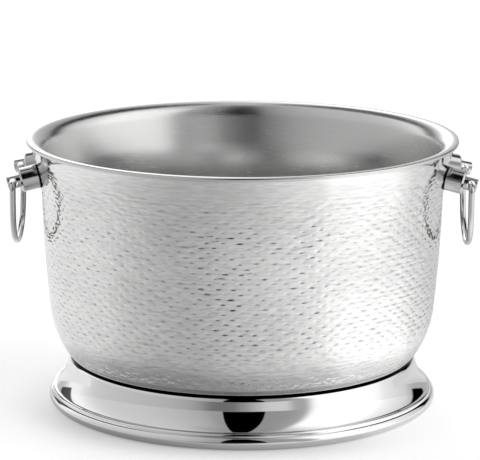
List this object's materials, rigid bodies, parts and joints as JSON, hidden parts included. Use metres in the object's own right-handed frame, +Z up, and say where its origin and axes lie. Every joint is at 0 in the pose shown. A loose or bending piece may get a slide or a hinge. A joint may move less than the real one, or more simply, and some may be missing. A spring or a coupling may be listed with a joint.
{
  "type": "champagne bucket",
  "caption": "Round double-walled metal bucket with a hammered outside, a rolled rim, a flared polished foot ring and a swinging bail handle on each side.",
  "frame": {"origin": "on the floor under the centre of the bucket", "axes": "+Z up, the bails on +X and -X, -Y the front"},
  "size_m": [0.4866, 0.45, 0.28],
  "materials": {
    "hammered_steel": "bright steel with rows of short horizontal hammer marks",
    "satin_steel": "fine satin, spun round the axis",
    "mirror_polished_steel": "mirror polish",
    "polished_fittings": "soft polish",
    "plain_steel": "mill finish",
    "zinc_plated_steel": "bright zinc plate"
  },
  "bodies": {
    "bucket": {"outer_shell": "hammered_steel", "inner_liner": "satin_steel", "foot_ring": "mirror_polished_steel", "left_backing_strap": "plain_steel", "left_front_eye_post": "polished_fittings", "left_front_collar": "polished_fittings", "left_front_lock_washer": "zinc_plated_steel", "left_front_stud_nut": "zinc_plated_steel", "left_rear_eye_post": "polished_fittings", "left_rear_collar": "polished_fittings", "left_rear_lock_washer": "zinc_plated_steel", "left_rear_stud_nut": "zinc_plated_steel", "right_backing_strap": "plain_steel", "right_front_eye_post": "polished_fittings", "right_front_collar": "polished_fittings", "right_front_lock_washer": "zinc_plated_steel", "right_front_stud_nut": "zinc_plated_steel", "right_rear_eye_post": "polished_fittings", "right_rear_collar": "polished_fittings", "right_rear_lock_washer": "zinc_plated_steel", "right_rear_stud_nut": "zinc_plated_steel"},
    "left_bail": {"left_bail": "polished_fittings"},
    "right_bail": {"right_bail": "polished_fittings"}
  },
  "joints": [
    {"name": "left_bail_swing", "type": "hinge", "parent": "bucket", "child": "left_bail", "pos_m": [-0.235, 0, 0.23765], "axis": [0, 1, 0], "range_deg": [-19, 196]},
    {"name": "right_bail_swing", "type": "hinge", "parent": "bucket", "child": "right_bail", "pos_m": [0.235, 0, 0.23765], "axis": [0, -1, 0], "range_deg": [-19, 196]}
  ]
}
